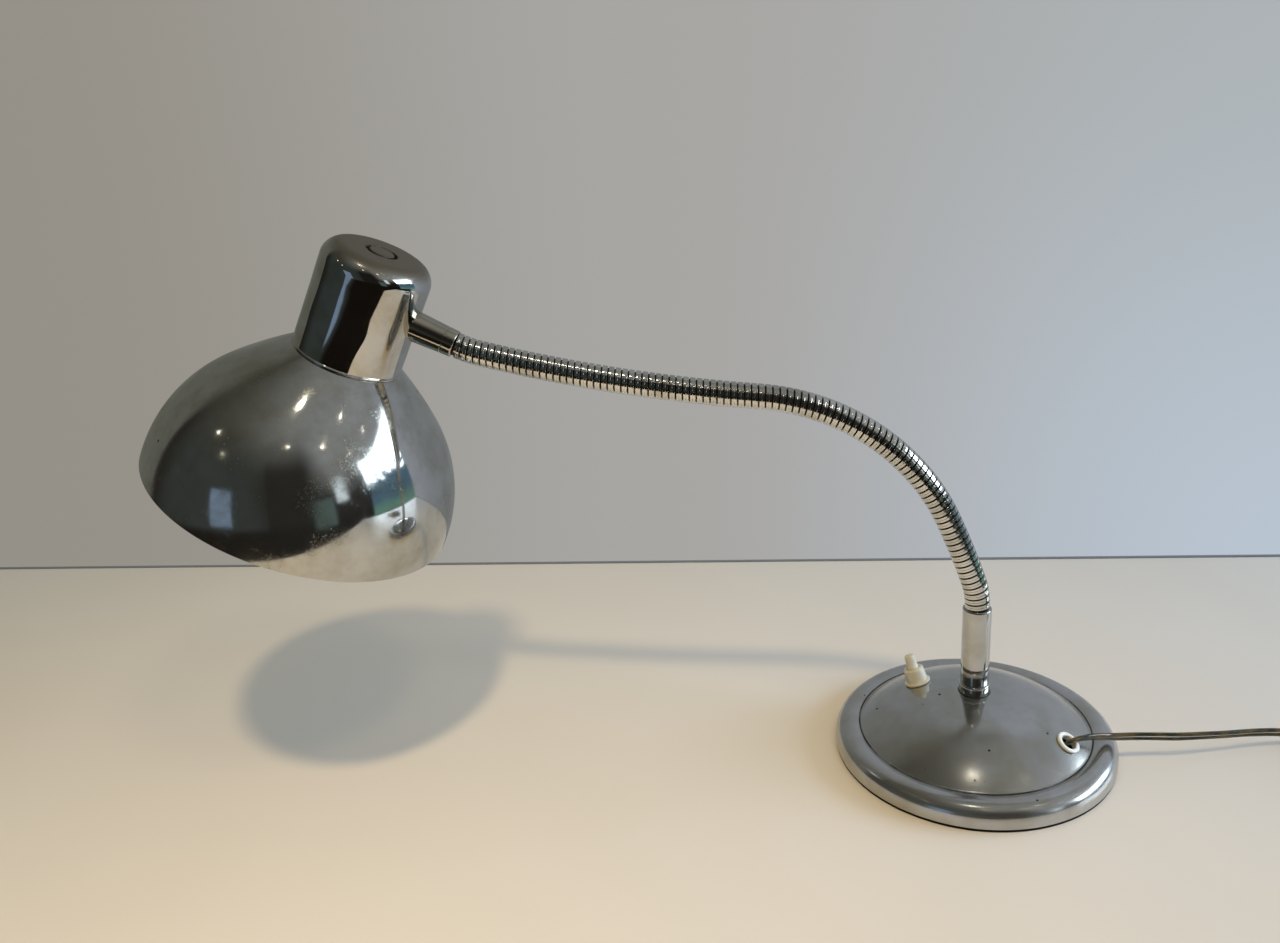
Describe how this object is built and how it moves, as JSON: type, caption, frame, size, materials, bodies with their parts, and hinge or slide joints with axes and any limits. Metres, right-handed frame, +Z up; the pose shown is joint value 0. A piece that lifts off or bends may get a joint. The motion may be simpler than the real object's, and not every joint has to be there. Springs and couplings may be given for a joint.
{
  "type": "gooseneck desk lamp",
  "caption": "Desk lamp with a bowl shade on a flexible metal gooseneck, a round weighted base, a push switch and a corded plug.",
  "frame": {"origin": "centre of the base's underside, where the lamp stands on the table", "axes": "+Z up; the neck reaches along -X in the XZ plane; the cord leaves towards +X"},
  "size_m": [0.7675, 0.215, 0.3222],
  "materials": {
    "bright_chrome": "polished chrome plate on spun steel, lightly scratched",
    "worn_chrome": "dulled, scratched chrome plate",
    "neck_chrome": "chrome-plated steel strip",
    "steel": "zinc-plated steel",
    "iron": "rough casting",
    "pad": "black felt",
    "ivory_plastic": "aged ivory plastic",
    "white_plastic": "moulded white plastic",
    "bakelite": "dark brown phenolic moulding",
    "porcelain": "white porcelain",
    "brass": "bright brass",
    "cap_metal": "pressed aluminium",
    "frosted_glass": "frosted glass",
    "clear_flex": "clear twin flex with tarnished cores",
    "tie_plastic": "black tie strap"
  },
  "bodies": {
    "base": {"felt_pad": "pad", "bottom_plate": "steel", "plate_screws": "steel", "base_weight": "iron", "base_shell": "worn_chrome", "stem_collar": "worn_chrome", "stem_tube": "worn_chrome", "stem_rod": "steel", "stem_washer": "steel", "stem_nut": "steel", "switch_body": "bakelite", "switch_collar": "ivory_plastic", "switch_terminals": "brass", "cord_grommet": "white_plastic", "inner_flex": "clear_flex", "flex_clamp": "steel", "neck_segment_01": "neck_chrome", "mains_cord": "clear_flex", "cord_coil": "clear_flex", "cord_tail": "clear_flex", "cord_tie": "tie_plastic", "plug_body": "white_plastic", "plug_pins": "brass"},
    "button": {"switch_plunger": "ivory_plastic"},
    "neck_02": {"neck_segment_02": "neck_chrome"},
    "neck_03": {"neck_segment_03": "neck_chrome"},
    "neck_04": {"neck_segment_04": "neck_chrome"},
    "neck_05": {"neck_segment_05": "neck_chrome"},
    "neck_06": {"neck_segment_06": "neck_chrome"},
    "neck_07": {"neck_segment_07": "neck_chrome"},
    "neck_08": {"neck_segment_08": "neck_chrome"},
    "neck_09": {"neck_segment_09": "neck_chrome"},
    "neck_10": {"neck_segment_10": "neck_chrome"},
    "neck_11": {"neck_segment_11": "neck_chrome"},
    "neck_12": {"neck_segment_12": "neck_chrome"},
    "neck_13": {"neck_segment_13": "neck_chrome"},
    "neck_14": {"neck_segment_14": "neck_chrome"},
    "neck_15": {"neck_segment_15": "neck_chrome"},
    "neck_16": {"neck_segment_16": "neck_chrome"},
    "neck_17": {"neck_segment_17": "neck_chrome"},
    "neck_18": {"neck_segment_18": "neck_chrome"},
    "neck_19": {"neck_segment_19": "neck_chrome"},
    "neck_20": {"neck_segment_20": "neck_chrome"},
    "neck_21": {"neck_segment_21": "neck_chrome"},
    "neck_22": {"neck_segment_22": "neck_chrome"},
    "neck_23": {"neck_segment_23": "neck_chrome"},
    "head": {"neck_segment_24": "neck_chrome", "head_ferrule": "bright_chrome", "ferrule_nut": "steel", "lamp_cap": "bright_chrome", "cap_screw": "bright_chrome", "holder_dome": "bakelite", "holder_skirt": "bakelite", "holder_insert": "porcelain", "holder_contacts": "brass", "shade_ring": "bakelite", "shade": "bright_chrome", "bulb_glass": "frosted_glass", "bulb_cap": "cap_metal"}
  },
  "joints": [
    {"name": "neck_lower_bend", "type": "hinge", "parent": "base", "child": "neck_02", "pos_m": [-0.00222, 0, 0.10726], "axis": [0, 1, 0], "range_deg": [-1.25, 8.75]},
    {"name": "neck_lower_bend_2", "type": "hinge", "parent": "neck_02", "child": "neck_03", "pos_m": [-0.00714, 0, 0.1213], "axis": [0, 1, 0], "range_deg": [-1.25, 8.75]},
    {"name": "neck_sway", "type": "hinge", "parent": "neck_03", "child": "neck_04", "pos_m": [-0.01254, 0, 0.13517], "axis": [0.9255, 0, 0.3787], "range_deg": [-6, 6]},
    {"name": "neck_lower_bend_3", "type": "hinge", "parent": "neck_04", "child": "neck_05", "pos_m": [-0.01841, 0, 0.14884], "axis": [0, 1, 0], "range_deg": [-1.25, 8.75]},
    {"name": "neck_lower_bend_4", "type": "hinge", "parent": "neck_05", "child": "neck_06", "pos_m": [-0.02539, 0, 0.16197], "axis": [0, 1, 0], "range_deg": [-1.25, 8.75]},
    {"name": "neck_sway_2", "type": "hinge", "parent": "neck_06", "child": "neck_07", "pos_m": [-0.03385, 0, 0.1742], "axis": [0.7882, 0, 0.6154], "range_deg": [-6, 6]},
    {"name": "neck_lower_bend_5", "type": "hinge", "parent": "neck_07", "child": "neck_08", "pos_m": [-0.04367, 0, 0.18538], "axis": [0, 1, 0], "range_deg": [-1.25, 8.75]},
    {"name": "neck_lower_bend_6", "type": "hinge", "parent": "neck_08", "child": "neck_09", "pos_m": [-0.05471, 0, 0.19534], "axis": [0, 1, 0], "range_deg": [-1.25, 8.75]},
    {"name": "neck_sway_3", "type": "hinge", "parent": "neck_09", "child": "neck_10", "pos_m": [-0.06684, 0, 0.20395], "axis": [0.5309, 0, 0.8474], "range_deg": [-6, 6]},
    {"name": "neck_lower_bend_7", "type": "hinge", "parent": "neck_10", "child": "neck_11", "pos_m": [-0.07988, 0, 0.2111], "axis": [0, 1, 0], "range_deg": [-1.25, 8.75]},
    {"name": "neck_lower_bend_8", "type": "hinge", "parent": "neck_11", "child": "neck_12", "pos_m": [-0.09366, 0, 0.21669], "axis": [0, 1, 0], "range_deg": [-1.25, 8.75]},
    {"name": "neck_sway_4", "type": "hinge", "parent": "neck_12", "child": "neck_13", "pos_m": [-0.10799, 0, 0.22065], "axis": [0.2098, 0, 0.9777], "range_deg": [-6, 6]},
    {"name": "neck_upper_bend", "type": "hinge", "parent": "neck_13", "child": "neck_14", "pos_m": [-0.12268, 0, 0.22298], "axis": [0, 1, 0], "range_deg": [-3, 7.5]},
    {"name": "neck_upper_bend_2", "type": "hinge", "parent": "neck_14", "child": "neck_15", "pos_m": [-0.13743, 0, 0.22497], "axis": [0, 1, 0], "range_deg": [-3, 7.5]},
    {"name": "neck_sway_5", "type": "hinge", "parent": "neck_15", "child": "neck_16", "pos_m": [-0.15214, 0, 0.22719], "axis": [0.1577, 0, 0.9875], "range_deg": [-6, 6]},
    {"name": "neck_upper_bend_3", "type": "hinge", "parent": "neck_16", "child": "neck_17", "pos_m": [-0.16682, 0, 0.22966], "axis": [0, 1, 0], "range_deg": [-3, 7.5]},
    {"name": "neck_upper_bend_4", "type": "hinge", "parent": "neck_17", "child": "neck_18", "pos_m": [-0.18145, 0, 0.23236], "axis": [0, 1, 0], "range_deg": [-3, 7.5]},
    {"name": "neck_sway_6", "type": "hinge", "parent": "neck_18", "child": "neck_19", "pos_m": [-0.19603, 0, 0.2353], "axis": [0.2056, 0, 0.9786], "range_deg": [-6, 6]},
    {"name": "neck_upper_bend_5", "type": "hinge", "parent": "neck_19", "child": "neck_20", "pos_m": [-0.21057, 0, 0.23848], "axis": [0, 1, 0], "range_deg": [-3, 7.5]},
    {"name": "neck_upper_bend_6", "type": "hinge", "parent": "neck_20", "child": "neck_21", "pos_m": [-0.22505, 0, 0.24189], "axis": [0, 1, 0], "range_deg": [-3, 7.5]},
    {"name": "neck_sway_7", "type": "hinge", "parent": "neck_21", "child": "neck_22", "pos_m": [-0.23948, 0, 0.24554], "axis": [0.253, 0, 0.9675], "range_deg": [-6, 6]},
    {"name": "neck_upper_bend_7", "type": "hinge", "parent": "neck_22", "child": "neck_23", "pos_m": [-0.25384, 0, 0.24942], "axis": [0, 1, 0], "range_deg": [-3, 7.5]},
    {"name": "neck_upper_bend_8", "type": "hinge", "parent": "neck_23", "child": "head", "pos_m": [-0.26814, 0, 0.25354], "axis": [0, 1, 0], "range_deg": [-3, 7.5]},
    {"name": "button_press", "type": "slide", "parent": "base", "child": "button", "axis": [0.288, -0.1835, -0.9399], "range_m": [0, 0.0025], "stiffness_N_per_m": 1200, "springref_m": -0.001}
  ],
  "couplings": [
    {"joint": "neck_lower_bend_2", "follows": "neck_lower_bend", "ratio": 1},
    {"joint": "neck_lower_bend_3", "follows": "neck_lower_bend", "ratio": 1},
    {"joint": "neck_lower_bend_4", "follows": "neck_lower_bend", "ratio": 1},
    {"joint": "neck_sway_2", "follows": "neck_sway", "ratio": 1},
    {"joint": "neck_lower_bend_5", "follows": "neck_lower_bend", "ratio": 1},
    {"joint": "neck_lower_bend_6", "follows": "neck_lower_bend", "ratio": 1},
    {"joint": "neck_sway_3", "follows": "neck_sway", "ratio": 1},
    {"joint": "neck_lower_bend_7", "follows": "neck_lower_bend", "ratio": 1},
    {"joint": "neck_lower_bend_8", "follows": "neck_lower_bend", "ratio": 1},
    {"joint": "neck_sway_4", "follows": "neck_sway", "ratio": 1},
    {"joint": "neck_upper_bend_2", "follows": "neck_upper_bend", "ratio": 1},
    {"joint": "neck_sway_5", "follows": "neck_sway", "ratio": 1},
    {"joint": "neck_upper_bend_3", "follows": "neck_upper_bend", "ratio": 1},
    {"joint": "neck_upper_bend_4", "follows": "neck_upper_bend", "ratio": 1},
    {"joint": "neck_sway_6", "follows": "neck_sway", "ratio": 1},
    {"joint": "neck_upper_bend_5", "follows": "neck_upper_bend", "ratio": 1},
    {"joint": "neck_upper_bend_6", "follows": "neck_upper_bend", "ratio": 1},
    {"joint": "neck_sway_7", "follows": "neck_sway", "ratio": 1},
    {"joint": "neck_upper_bend_7", "follows": "neck_upper_bend", "ratio": 1},
    {"joint": "neck_upper_bend_8", "follows": "neck_upper_bend", "ratio": 1}
  ]
}
